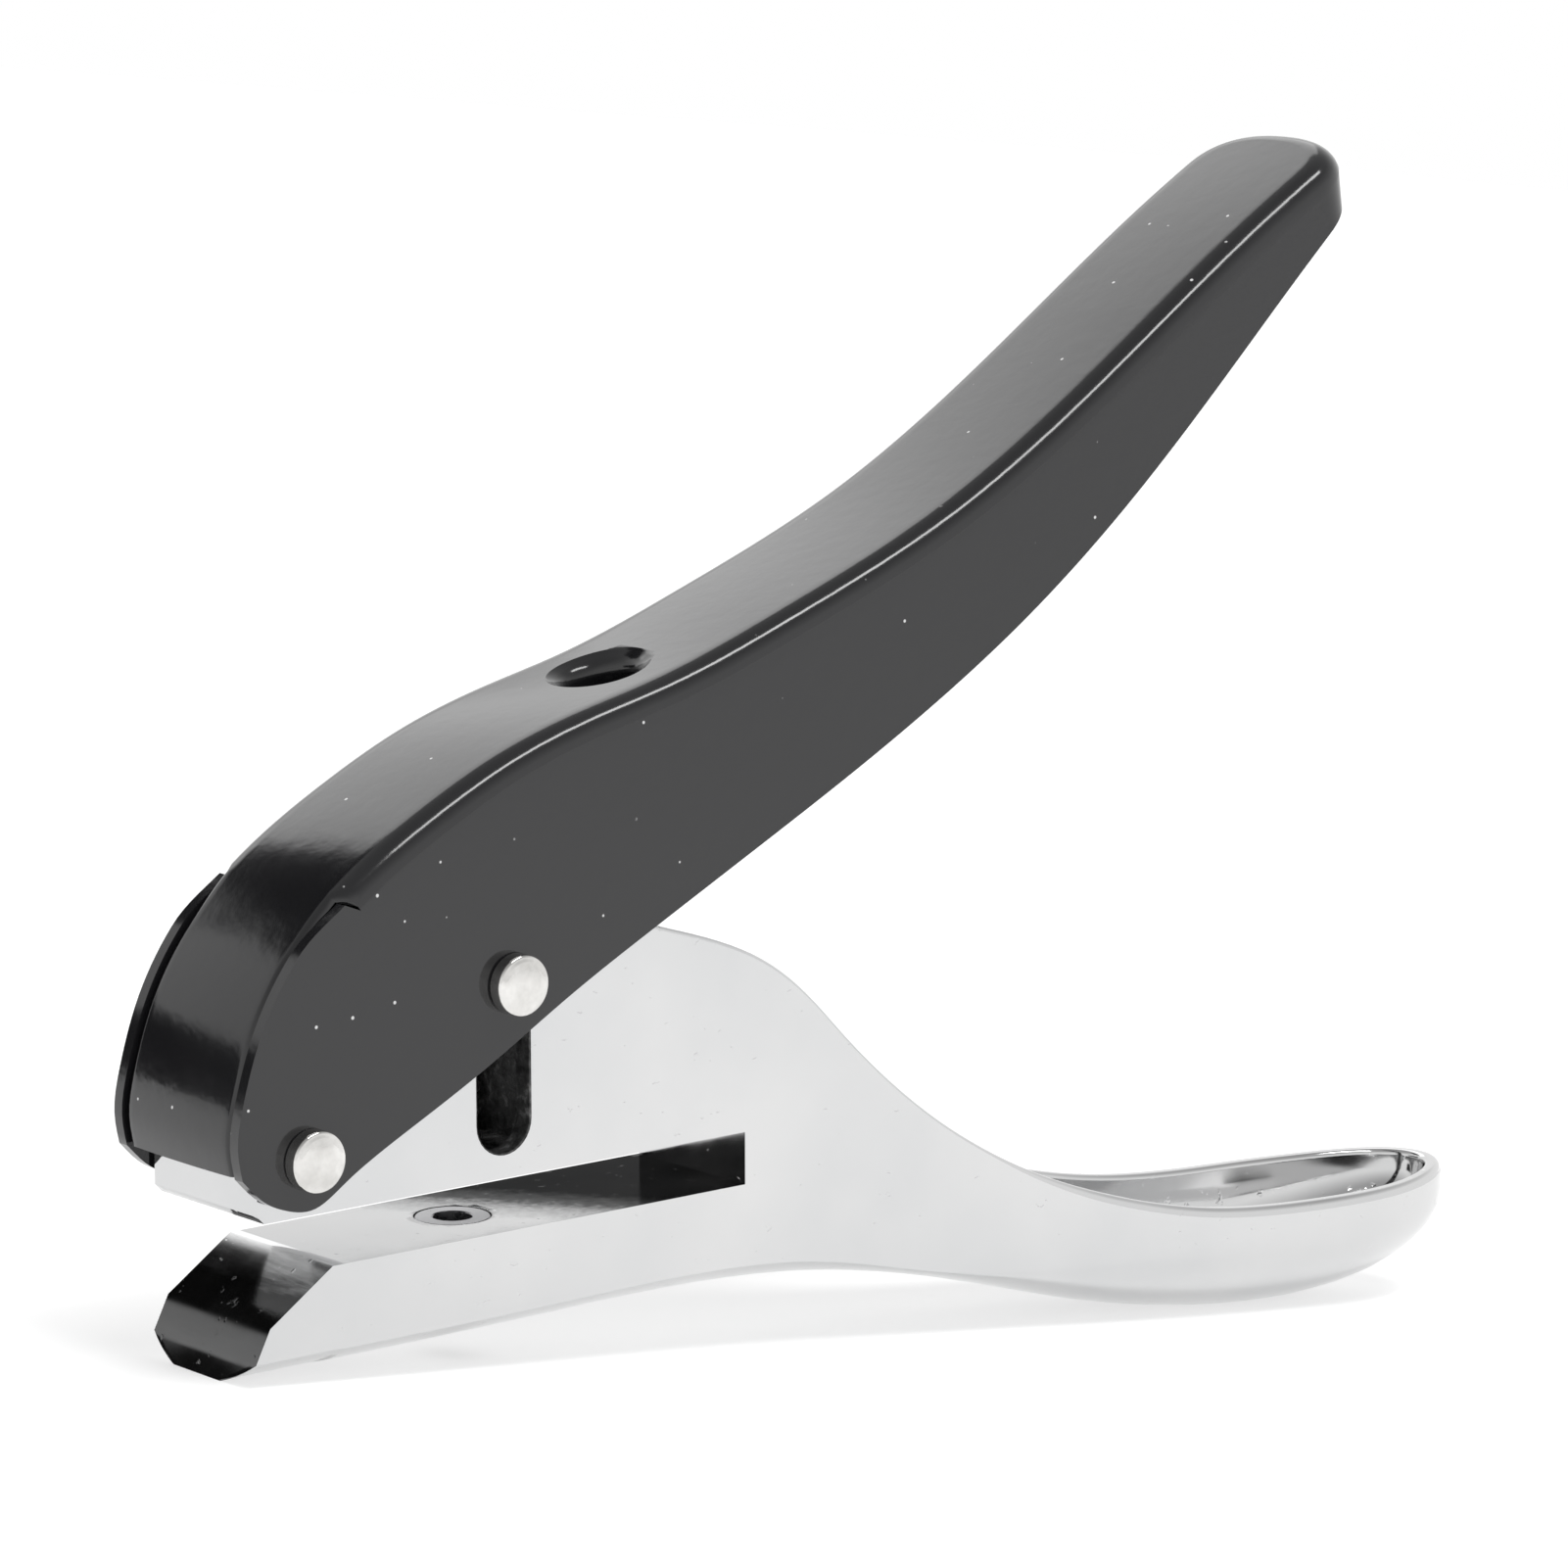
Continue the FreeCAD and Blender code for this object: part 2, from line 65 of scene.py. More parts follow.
class Line:
    """A smooth line through points: a natural cubic spline over the chord length, or given knots."""

    def __init__(self, points, knots=None):
        self.points = np.array(points, float)
        steps = np.linalg.norm(np.diff(self.points, axis=0), axis=1)
        self.knots = np.concatenate([[0.0], np.cumsum(steps)]) if knots is None else np.array(knots, float)
        gaps = np.diff(self.knots)
        count = len(self.knots)
        system = np.eye(count)
        right = np.zeros_like(self.points)
        for i in range(1, count - 1):
            system[i, i - 1:i + 2] = gaps[i - 1], 2 * (gaps[i - 1] + gaps[i]), gaps[i]
            slope_after = (self.points[i + 1] - self.points[i]) / gaps[i]
            slope_before = (self.points[i] - self.points[i - 1]) / gaps[i - 1]
            right[i] = 6 * (slope_after - slope_before)
        self.bends = np.linalg.solve(system, right)

    @property
    def length(self):
        return self.knots[-1]

    def at(self, t):
        i = int(np.clip(np.searchsorted(self.knots, t) - 1, 0, len(self.knots) - 2))
        gap = self.knots[i + 1] - self.knots[i]
        a = (self.knots[i + 1] - t) / gap
        b = (t - self.knots[i]) / gap
        curl = (a**3 - a) * self.bends[i] + (b**3 - b) * self.bends[i + 1]
        return a * self.points[i] + b * self.points[i + 1] + curl * gap**2 / 6

    def along(self, t, step=0.05):
        """Unit direction at t."""
        way = self.at(t + step) - self.at(t - step)
        return way / np.linalg.norm(way)


def table_line(rows, column):
    """One column of a table of rows (x, ...) as a smooth function of x."""
    line = Line([[row[column]] for row in rows], knots=[row[0] for row in rows])
    low, high = rows[0][0], rows[-1][0]
    return lambda x: float(line.at(min(max(x, low), high))[0])


def smooth(value, low, high):
    """0 below low, 1 above high, and an easy S between them."""
    t = min(max((value - low) / (high - low), 0.0), 1.0)
    return t * t * (3 - 2 * t)


def spread(low, high, step):
    """Even stations from low to high, about step apart."""
    return list(np.linspace(low, high, max(2, int(round((high - low) / step)) + 1)))


class Builder:
    """Collects points in millimetres and faces, then makes one welded mesh object."""

    def __init__(self):
        self.points = []
        self.faces = []

    def grid(self, rows, flip=False):
        """A quad grid from rows of points."""
        start = len(self.points)
        width = len(rows[0])
        for row in rows:
            self.points.extend(row)
        for i in range(len(rows) - 1):
            for j in range(width - 1):
                a = start + i * width + j
                quad = [a, a + 1, a + width + 1, a + width]
                self.faces.append(quad[::-1] if flip else quad)

    def mirrored_grid(self, rows, flip=False):
        """The grid and its mirror image across the plane y = 0."""
        self.grid(rows, flip)
        self.grid([[(x, -y, z) for x, y, z in row] for row in rows], not flip)

    def make(self, name, weld=0.002):
        mesh = bpy.data.meshes.new(name)
        mesh.from_pydata([Vector(p) * MM for p in self.points], [], self.faces)
        made = bpy.data.objects.new(name, mesh)
        bpy.context.scene.collection.objects.link(made)
        tidy(made, weld)
        return made


def tidy(made, weld=0.002):
    """Weld doubles, drop empty faces and turn all normals outward."""
    work = bmesh.new()
    work.from_mesh(made.data)
    bmesh.ops.remove_doubles(work, verts=work.verts, dist=weld * MM)
    bmesh.ops.dissolve_degenerate(work, edges=work.edges, dist=0.5 * weld * MM)
    bmesh.ops.recalc_face_normals(work, faces=work.faces)
    work.to_mesh(made.data)
    work.free()


def apply_all(made):
    """Bake the modifiers into the mesh."""
    graph = bpy.context.evaluated_depsgraph_get()
    mesh = bpy.data.meshes.new_from_object(made.evaluated_get(graph), depsgraph=graph)
    made.modifiers.clear()
    made.data = mesh


def round_weighted_edges(made, width, segments=3):
    """Round the edges that carry a bevel weight."""
    modifier = made.modifiers.new("edge rounding", "BEVEL")
    modifier.width = width * MM
    modifier.segments = segments
    modifier.limit_method = "WEIGHT"
    modifier.use_clamp_overlap = True
    modifier.harden_normals = True
    apply_all(made)


def shade(made, angle=35):
    """Smooth shading that keeps edges sharper than the angle."""
    made.data.shade_smooth()
    made.data.set_sharp_from_angle(angle=math.radians(angle))


def flatten_normals(made, angle=38):
    """Smooth shading in which large flat faces stay flat up to their rounded edges."""
    shade(made, angle)
    modifier = made.modifiers.new("flat faces", "WEIGHTED_NORMAL")
    modifier.keep_sharp = True
    apply_all(made)


def lathe(name, profile, centre, axis="y", steps=64):
    """A turned piece. profile is (radius, height) in millimetres along the axis."""
    builder = Builder()
    rows = []
    for step in range(steps + 1):
        angle = 2 * math.pi * step / steps
        row = []
        for radius, height in profile:
            a, b = radius * math.cos(angle), radius * math.sin(angle)
            local = (a, height, b) if axis == "y" else (a, b, height)
            row.append(tuple(c + v for c, v in zip(centre, local)))
        rows.append(row)
    builder.grid(rows)
    return builder.make(name)


# ------------------------------------------------------------------ materials

def new_material(name):
    material = bpy.data.materials.new(name)
    material.use_nodes = True
    nodes = material.node_tree.nodes
    return material, nodes, material.node_tree.links, nodes["Principled BSDF"]


def object_noise(nodes, links, scale, detail=3.0, rough=0.5, stretch=(1, 1, 1)):
    """Noise over the object's own coordinates. scale is in features per metre."""
    place = nodes.new("ShaderNodeTexCoord")
    mapping = nodes.new("ShaderNodeMapping")
    mapping.inputs["Scale"].default_value = stretch
    noise = nodes.new("ShaderNodeTexNoise")
    noise.inputs["Scale"].default_value = scale
    noise.inputs["Detail"].default_value = detail
    noise.inputs["Roughness"].default_value = rough
    links.new(place.outputs["Object"], mapping.inputs["Vector"])
    links.new(mapping.outputs["Vector"], noise.inputs["Vector"])
    return noise.outputs["Fac"]


def ramp(nodes, links, source, stops):
    """A colour ramp. stops is (place, grey or colour)."""
    node = nodes.new("ShaderNodeValToRGB")
    elements = node.color_ramp.elements
    while len(elements) < len(stops):
        elements.new(0.5)
    for element, (place, value) in zip(elements, stops):
        element.position = place
        colour = (value, value, value) if isinstance(value, float) else value
        element.color = (*colour, 1.0)
    links.new(source, node.inputs["Fac"])
    return node.outputs["Color"]


def add_bump(nodes, links, height, distance, strength=1.0, below=None):
    node = nodes.new("ShaderNodeBump")
    node.inputs["Strength"].default_value = strength
    node.inputs["Distance"].default_value = distance
    links.new(height, node.inputs["Height"])
    if below is not None:
        links.new(below, node.inputs["Normal"])
    return node.outputs["Normal"]


# Painted shade and painted dark reflections on the chrome, by zone: direction, grain in millimetres
# and its stretch, and stops of (distance along the direction in millimetres, grey). They are fixed to the
# part.
PAINTED_SHADE_ZONES = {
    "anvil": ((1.0, 0.75, 0), 3.0, (1, 1, 1), [
        (-24, 0.90), (0, 0.97), (4, 0.75), (7, 0.36), (11, 0.24), (30, 0.24),
    ]),
    "ramp": ((0, 0, 1.0), 1.5, (1, 0.15, 1), [
        (-9, 0.28), (-4, 0.20), (-2.0, 0.18), (-0.9, 0.65), (0, 0.95),
    ]),
    "recess": ((0, 1.0, 0.6), 2.5, (1, 1, 1), [
        (-8, 0.55), (-5, 0.65), (-3, 0.9), (8, 1.0),
    ]),
}


def chrome_material(name, zone=None):
    """Bright chrome over a cast body: slow ripples, a faint haze and tiny pits."""
    material, nodes, links, shader = new_material(name)
    shader.inputs["Metallic"].default_value = 1.0
    slow = object_noise(nodes, links, 60, 4)
    tint = ramp(nodes, links, slow, [(0.3, (0.60, 0.605, 0.61)), (0.7, (0.66, 0.66, 0.66))])
    # With a zone, painted shade and painted reflections darken the colour, and outside the recess the edge
    # tint too.
    if zone:
        mix = nodes.new("ShaderNodeMixRGB")
        mix.blend_type = "MULTIPLY"
        mix.inputs["Fac"].default_value = 1.0
        links.new(tint, mix.inputs["Color1"])
        grey = painted_shade_grey(nodes, links, *PAINTED_SHADE_ZONES[zone])
        links.new(grey, mix.inputs["Color2"])
        if zone != "recess":
            links.new(grey, shader.inputs["Specular Tint"])
        tint = mix.outputs["Color"]
    links.new(tint, shader.inputs["Base Color"])
    haze = ramp(nodes, links, object_noise(nodes, links, 180, 5, 0.6), [(0.35, 0.07), (0.75, 0.16)])
    links.new(haze, shader.inputs["Roughness"])
    ripple = add_bump(nodes, links, object_noise(nodes, links, 90, 1), 0.0004, 0.25)
    pits = ramp(nodes, links, object_noise(nodes, links, 900, 2), [(0.26, 0.0), (0.32, 1.0)])
    links.new(add_bump(nodes, links, pits, 0.00004, 0.5, ripple), shader.inputs["Normal"])
    return material


def painted_shade_grey(nodes, links, direction, grain, stretch, stops):
    """Painted shade over a zone: a grey from the distance in millimetres along a direction."""
    place = nodes.new("ShaderNodeTexCoord")
    dot = nodes.new("ShaderNodeVectorMath")
    dot.operation = "DOT_PRODUCT"
    links.new(place.outputs["Object"], dot.inputs[0])
    dot.inputs[1].default_value = [v / MM for v in direction]
    sway = nodes.new("ShaderNodeMath")
    sway.operation = "MULTIPLY_ADD"
    links.new(object_noise(nodes, links, 900, 6, 0.75, stretch), sway.inputs[0])
    sway.inputs[1].default_value = 2 * grain
    sway.inputs[2].default_value = -grain
    total = nodes.new("ShaderNodeMath")
    links.new(dot.outputs["Value"], total.inputs[0])
    links.new(sway.outputs[0], total.inputs[1])
    low, high = stops[0][0], stops[-1][0]
    scaled = nodes.new("ShaderNodeMapRange")
    links.new(total.outputs[0], scaled.inputs["Value"])
    scaled.inputs["From Min"].default_value = low
    scaled.inputs["From Max"].default_value = high
    shares = [((at - low) / (high - low), grey) for at, grey in stops]
    return ramp(nodes, links, scaled.outputs["Result"], shares)


def cast_material():
    """The unpolished inside of the casting: dark and mottled."""
    material, nodes, links, shader = new_material("as_cast_inside")
    shader.inputs["Metallic"].default_value = 0.7
    mottle = object_noise(nodes, links, 900, 6, 0.65)
    tone = ramp(nodes, links, mottle, [(0.38, 0.03), (0.55, 0.10), (0.72, 0.38)])
    links.new(tone, shader.inputs["Base Color"])
    links.new(ramp(nodes, links, mottle, [(0.3, 0.35), (0.7, 0.6)]), shader.inputs["Roughness"])
    links.new(add_bump(nodes, links, mottle, 0.0002, 0.6), shader.inputs["Normal"])
    return material


def black_coat_material():
    """Glossy black coat on pressed steel: orange peel, faint haze and a little white dust."""
    material, nodes, links, shader = new_material("black_gloss_coat")
    dust_shape = nodes.new("ShaderNodeTexVoronoi")
    dust_shape.inputs["Scale"].default_value = 420
    place = nodes.new("ShaderNodeTexCoord")
    links.new(place.outputs["Object"], dust_shape.inputs["Vector"])
    speck = ramp(nodes, links, dust_shape.outputs["Distance"], [(0.045, 1.0), (0.065, 0.0)])
    rare = ramp(nodes, links, object_noise(nodes, links, 300, 2), [(0.50, 0.0), (0.54, 1.0)])
    both = nodes.new("ShaderNodeMath")
    both.operation = "MULTIPLY"
    links.new(speck, both.inputs[0])
    links.new(rare, both.inputs[1])
    colour = ramp(nodes, links, both.outputs[0], [(0.0, (0.008, 0.008, 0.009)), (1.0, (0.60, 0.60, 0.60))])
    links.new(colour, shader.inputs["Base Color"])
    haze = ramp(nodes, links, object_noise(nodes, links, 70, 4), [(0.3, 0.10), (0.7, 0.17)])
    links.new(haze, shader.inputs["Roughness"])
    shader.inputs["Coat Weight"].default_value = 0.28
    shader.inputs["Coat Roughness"].default_value = 0.04
    peel = add_bump(nodes, links, object_noise(nodes, links, 650, 2), 0.00006, 0.30)
    links.new(peel, shader.inputs["Normal"])
    return material


def steel_material(name, low, high, rough, ring=0.0):
    """Bright or ground steel. ring adds fine turned rings along the axis."""
    material, nodes, links, shader = new_material(name)
    shader.inputs["Metallic"].default_value = 1.0
    stain = object_noise(nodes, links, 500, 5, 0.6)
    links.new(ramp(nodes, links, stain, [(0.35, low), (0.7, high)]), shader.inputs["Base Color"])
    links.new(ramp(nodes, links, stain, [(0.3, rough), (0.75, rough * 1.9)]), shader.inputs["Roughness"])
    scratch = object_noise(nodes, links, 1500, 3, 0.6, (1, 1, 0.15 + ring))
    links.new(add_bump(nodes, links, scratch, 0.00004, 0.35), shader.inputs["Normal"])
    return material


CHROME = chrome_material("chrome_plate")
# These three carry painted shade and painted reflections on the anvil, the nose's ramp and the throat's rear
# wall.
ANVIL_PAINTED_SHADE = chrome_material("chrome_anvil_painted_shade", "anvil")
RAMP_PAINTED_SHADE = chrome_material("chrome_ramp_painted_shade", "ramp")
RECESS_PAINTED_SHADE = chrome_material("chrome_recess_painted_shade", "recess")
AS_CAST = cast_material()
BLACK = black_coat_material()
RIVET = steel_material("rivet_nickel", (0.62, 0.61, 0.59), (0.80, 0.79, 0.77), 0.08)
GROUND = steel_material("ground_steel", (0.30, 0.30, 0.31), (0.48, 0.48, 0.49), 0.22, 0.6)
WIRE = steel_material("spring_wire", (0.40, 0.40, 0.41), (0.60, 0.60, 0.61), 0.20)
ZINC = steel_material("holder_zinc", (0.16, 0.16, 0.17), (0.30, 0.30, 0.31), 0.38)


# ------------------------------------------------------------------ frame casting

THROAT_BACK = 22.96
THROAT_GAP = 4.1
JAW_HALF = 6.535
NOSE_FRONT = -22.3
SPOON_END = 102.6
SPOON_HALF = 8.1
SPOON_BEND = 18.6
SPOON_POWER = 2 / 2.3
SPOON_MIDDLE = SPOON_END - SPOON_BEND
NOSE_CHAMFER = 0.6
DISH_START = 54.5

# Upper side of the casting behind the throat, down the neck to the end of the spoon.
BACK_LINE = Line([
    (15.4, 21.0), (20.0, 19.5), (24.85, 17.3), (28.7, 14.5), (32.6, 10.6), (37.6, 5.9),
    (43.6, 1.3), (50.8, -2.9), (60.0, -6.6), (70.0, -9.2), (80.0, -10.4), (88.0, -10.8),
    (94.0, -10.95), (99.0, -10.9), (104.0, -10.8),
])
BACK_TABLE = [tuple(BACK_LINE.at(t)) for t in spread(0, BACK_LINE.length, 1.0)]
# x, half width, lower end of the straight side, bottom, exponents across and down
SKIN = [
    (-26.0, 6.535, -6.3, -8.5, 2.0, 1.0), (5.0, 6.535, -6.3, -8.5, 2.0, 1.0),
    (22.0, 6.535, -6.4, -8.55, 2.0, 1.0), (32.0, 6.535, -7.6, -9.3, 2.0, 1.1),
    (42.0, 6.56, -10.0, -11.1, 2.1, 1.3), (52.0, 6.95, -11.6, -13.9, 2.3, 1.7),
    (62.0, 7.7, -12.2, -16.8, 2.4, 1.9), (72.0, 8.08, -12.6, -18.9, 2.3, 2.0),
    (84.0, 8.1, -12.8, -20.1, 2.2, 2.0), (94.0, 8.1, -13.1, -20.1, 2.2, 2.0),
    (104.0, 8.1, -13.2, -20.1, 2.2, 2.0),
]
# x, half width and floor of the dish
DISH = [
    (54.5, 4.6, -4.7), (60.0, 5.9, -11.0), (66.0, 6.5, -14.6), (74.0, 6.6, -17.0),
    (84.0, 6.6, -18.2), (104.0, 6.6, -18.2),
]
LOWER_NOSE = Line([(-15.7, 0), (-18.4, -0.8), (-20.8, -3.0), (-22.2, -5.4), (-23.5, -8.4)])
UPPER_TOP = [(-22.3, 10.5), (-20.6, 12.9), (-9.0, 22.6), (-6.0, 23.4), (8.0, 23.4), (15.4, 21.0)]


def straight_line(rows, column):
    """One column of a table of rows (x, ...) joined by straight steps."""
    return lambda x: float(np.interp(x, [row[0] for row in rows], [row[column] for row in rows]))


skin_at = [straight_line(SKIN, 1)] + [table_line(SKIN, column) for column in range(2, 6)]
dish_half_at = table_line(DISH, 1)
dish_floor_at = table_line(DISH, 2)


def back_height(x):
    """Height of the casting's upper side at x."""
    table = UPPER_TOP if x < BACK_TABLE[0][0] else BACK_TABLE
    return float(np.interp(x, [p[0] for p in table], [p[1] for p in table]))


class Section:
    """One row round the near half of the casting. In the spoon's end, rows fan out by turn."""

    def __init__(self, x, turn=None):
        self.turn = turn
        self.x = x if turn is None else SPOON_MIDDLE + SPOON_BEND * math.sin(turn) ** SPOON_POWER
        self.half = skin_at[0](self.x)
        self.top = back_height(self.x)
        self.edge = skin_at[1](self.x)
        self.bottom = skin_at[2](self.x if turn is None else SPOON_MIDDLE)
        self.tall = 0.28 + 0.37 * smooth(self.x, 46, 60)
        self.roof = self.top - self.tall - 0.10
        if turn is not None:
            self.edge = min(self.edge, self.roof - 0.15)
        throat_edge = skin_at[1](THROAT_BACK)
        share = (self.roof - self.edge) / (back_height(THROAT_BACK) - 0.38 - throat_edge)
        self.low = self.edge - share * throat_edge
        self.high = self.edge + share * (THROAT_GAP - throat_edge)

    def spot(self, inset, z, share=1.0):
        """A point at that inset from the outer edge, drawn toward the middle by share."""
        if self.turn is None:
            return (self.x, -(self.half - inset) * share, z)
        along = (SPOON_BEND - inset) * math.sin(self.turn) ** SPOON_POWER * share
        across = (SPOON_HALF - inset) * math.cos(self.turn) * share
        return (SPOON_MIDDLE + along, -across, z)

    def underside(self, steps=9):
        """From the middle to the lower end of the straight side."""
        across, down = skin_at[3](self.x), skin_at[4](self.x)
        row = []
        for angle in np.linspace(math.pi / 2, 0.0, steps + 1):
            share = max(math.cos(angle), 0.0) ** (2 / across)
            z = self.edge + (self.bottom - self.edge) * math.sin(angle) ** (2 / down)
            row.append(self.spot(0, z, share))
        return row

    def upper(self, steps=12, arc=5):
        """From the side to the middle: rounded rim, lip, then the dish."""
        spoon = smooth(self.x, 46, 60)
        rim = 0.28 + 0.30 * spoon
        groove = 0.07 * spoon
        wall = self.half - dish_half_at(self.x)
        lip = 0.45 * spoon
        floor = dish_floor_at(self.x if self.turn is None else SPOON_MIDDLE)
        depth = max(self.top - floor - lip, 0.0) if self.x > DISH_START else 0.0
        row = [self.spot(0, self.roof)]
        for angle in np.linspace(0.0, math.pi / 2, arc + 1):
            inset = groove + (rim - groove) * (1 - math.cos(angle))
            row.append(self.spot(inset, self.top - self.tall * (1 - math.sin(angle))))
        for angle in np.linspace(0.0, math.pi / 2, arc + 1):
            inset = wall - lip * (1 - math.sin(angle))
            row.append(self.spot(inset, self.top - lip * (1 - math.cos(angle))))
        for angle in np.linspace(0.0, math.pi / 2, steps + 1)[1:]:
            row.append(self.spot(wall, self.top - lip - depth * math.sin(angle) ** 0.9, math.cos(angle)))
        return row


UPPER_COUNT = len(Section(0.0).upper())


def flat_row(x, half, z):
    """A level row across the near half, with room beside the edge for its rounding."""
    edge = min(0.7, half / 2)
    inner = np.linspace(half - edge, 0.0, UPPER_COUNT - 1)
    return [(x, -half, z)] + [(x, -float(y), z) for y in inner]


def nose_rows():
    """Rows of the lower nose: (x, half width, height) of its ramp, from the bottom up."""
    line = [LOWER_NOSE.at(t) for t in spread(0, LOWER_NOSE.length, 0.05)]
    edge, bottom = SKIN[0][2], SKIN[0][3]
    rows = []
    for share in (0.0, 0.12, 0.24, 0.36, 0.48, 0.6, 0.71, 0.81, 0.9, 1.0):
        z = edge + (bottom - edge) * (1 - share**2)
        rows.append((float(np.interp(-z, [-p[1] for p in line], [p[0] for p in line])), JAW_HALF * share, z))
    for t in spread(7.0, 0.0, 0.5):
        x, z = LOWER_NOSE.at(t)
        rows.append((float(x), JAW_HALF, float(z)))
    return rows


def nose_underside(x, half, steps=9):
    """The crowned underside cut short where the nose's ramp meets it."""
    edge, bottom = SKIN[0][2], SKIN[0][3]
    ys = [half * step / steps for step in range(steps + 1)]
    return [(x, -y, edge + (bottom - edge) * (1 - (y / JAW_HALF) ** 2)) for y in ys]


def front_rows():
    """Rows up the front of the upper jaw: chamfer, then flat, to the rounded top row."""
    low = flat_row(NOSE_FRONT + NOSE_CHAMFER, JAW_HALF, THROAT_GAP)
    middle = flat_row(NOSE_FRONT, JAW_HALF, THROAT_GAP + NOSE_CHAMFER)
    high = Section(NOSE_FRONT).upper()
    return [low, middle, high]


def frame_shell():
    """The outer skin of the casting, with the throat open and the dish hollowed."""
    builder = Builder()
    rear = [Section(x) for x in spread(THROAT_BACK, SPOON_MIDDLE, 0.9)]
    rear += [Section(0, turn) for turn in np.linspace(0.0, math.pi / 2, 26)[1:]]
    nose = nose_rows()
    jaw = [(x, JAW_HALF, 0.0) for x in spread(-15.7, THROAT_BACK, 1.2)[1:]]
    low_rows = []
    for x, half, z in nose + jaw:
        row = nose_underside(x, half) if x <= -15.7 else Section(x).underside()
        low_rows.append(row + [(x, -half, z)])
    low_rows += [s.underside() + [s.spot(0, s.low)] for s in rear[1:]]
    builder.mirrored_grid(low_rows)
    builder.mirrored_grid([flat_row(x, half, z) for x, half, z in nose + jaw])
    builder.mirrored_grid([[s.spot(0, s.low), s.spot(0, s.high)] for s in rear])
    upper_jaw = [Section(x) for x in spread(NOSE_FRONT + NOSE_CHAMFER, THROAT_BACK, 1.2)]
    upper = [[s.spot(0, THROAT_GAP)] + s.upper() for s in upper_jaw]
    tip = Section(NOSE_FRONT)
    upper.insert(0, [tip.spot(0, THROAT_GAP + NOSE_CHAMFER)] + tip.upper())
    upper += [[s.spot(0, s.high)] + s.upper() for s in rear[1:]]
    builder.mirrored_grid(upper)
    builder.mirrored_grid([flat_row(s.x, JAW_HALF, THROAT_GAP) for s in upper_jaw])
    builder.mirrored_grid([flat_row(THROAT_BACK, JAW_HALF, z) for z in (0.0, THROAT_GAP)])
    builder.mirrored_grid(front_rows())
    return builder.make("frame_casting")


def weigh_edges(made, angle, behind):
    """Weight the outward edges sharper than the angle, in front of x = behind, for rounding."""
    work = bmesh.new()
    work.from_mesh(made.data)
    layer = work.edges.layers.float.new("bevel_weight_edge")
    for edge in work.edges:
        if len(edge.link_faces) == 2 and edge.is_convex and edge.verts[0].co.x < behind * MM:
            if edge.calc_face_angle(0.0) > math.radians(angle):
                edge[layer] = 1.0
    work.to_mesh(made.data)
    work.free()


def faces_ramp_way(normal):
    return normal.x < -0.05 and normal.z > 0.1 and abs(normal.y) < 0.3


def mark_painted_shade_faces(made):
    """Give the anvil, the nose's ramp and the throat's rear wall the materials with painted shade and
    painted reflections.
    """
    for face in made.data.polygons:
        x, y, z = face.center / MM
        normal = face.normal
        if -15.6 < x < THROAT_BACK and abs(z) < 0.02 and normal.z > 0.9:
            face.material_index = 2
        elif x < -15.6 and -8.4 < z < 0.01 and faces_ramp_way(normal):
            face.material_index = 3
        elif abs(x - THROAT_BACK) < 0.1 and 0 < z < THROAT_GAP and normal.x < -0.9:
            face.material_index = 4


def cutter(name, levels, axis):
    """A tool for cutting, from levels of (height, outline) along the axis."""
    builder = Builder()
    rows = []
    for level, outline in levels:
        points = [(a, level, b) if axis == "y" else (a, b, level) for a, b in outline]
        rows.append(points + points[:1])
    builder.grid(rows)
    count = len(rows[0])
    builder.faces.append(list(range(count - 1)))
    last = (len(rows) - 1) * count
    builder.faces.append(list(range(last, last + count - 1)))
    made = builder.make(name)
    made.data.materials.append(AS_CAST)
    return made


def flared(shape, heights, grow):
    """Levels of the outline shape(extra radius) between heights, opened out at both ends."""
    low, high = heights
    levels = [(low - 1.0, shape(grow + 1.0))]
    turns = (0.0, 0.5, 1.0, 1.57)
    lips = [(grow * (1 - math.cos(turn)), shape(grow * (1 - math.sin(turn)))) for turn in turns]
    levels += [(low + rise, outline) for rise, outline in lips]
    levels += [(high - rise, outline) for rise, outline in lips[::-1]]
    return levels + [(high + 1.0, shape(grow + 1.0))]


def ring(radius, steps=40):
    turns = [2 * math.pi * i / steps for i in range(steps)]
    return [(radius * math.cos(turn), radius * math.sin(turn)) for turn in turns]


def stadium(low, high, radius, steps=16):
    """The outline of an upright slot between two centres."""
    points = []
    for i in range(2 * steps + 2):
        turn = math.pi * (i - (1 if i > steps else 0)) / steps
        centre = high if i <= steps else low
        points.append((centre[0] + radius * math.cos(turn), centre[1] + radius * math.sin(turn)))
    return points


def cut_away(made, tools):
    for tool in tools:
        modifier = made.modifiers.new("cut", "BOOLEAN")
        modifier.operation = "DIFFERENCE"
        modifier.solver = "EXACT"
        modifier.object = tool
        modifier.material_mode = "TRANSFER"
    apply_all(made)
    for tool in tools:
        bpy.data.objects.remove(tool)


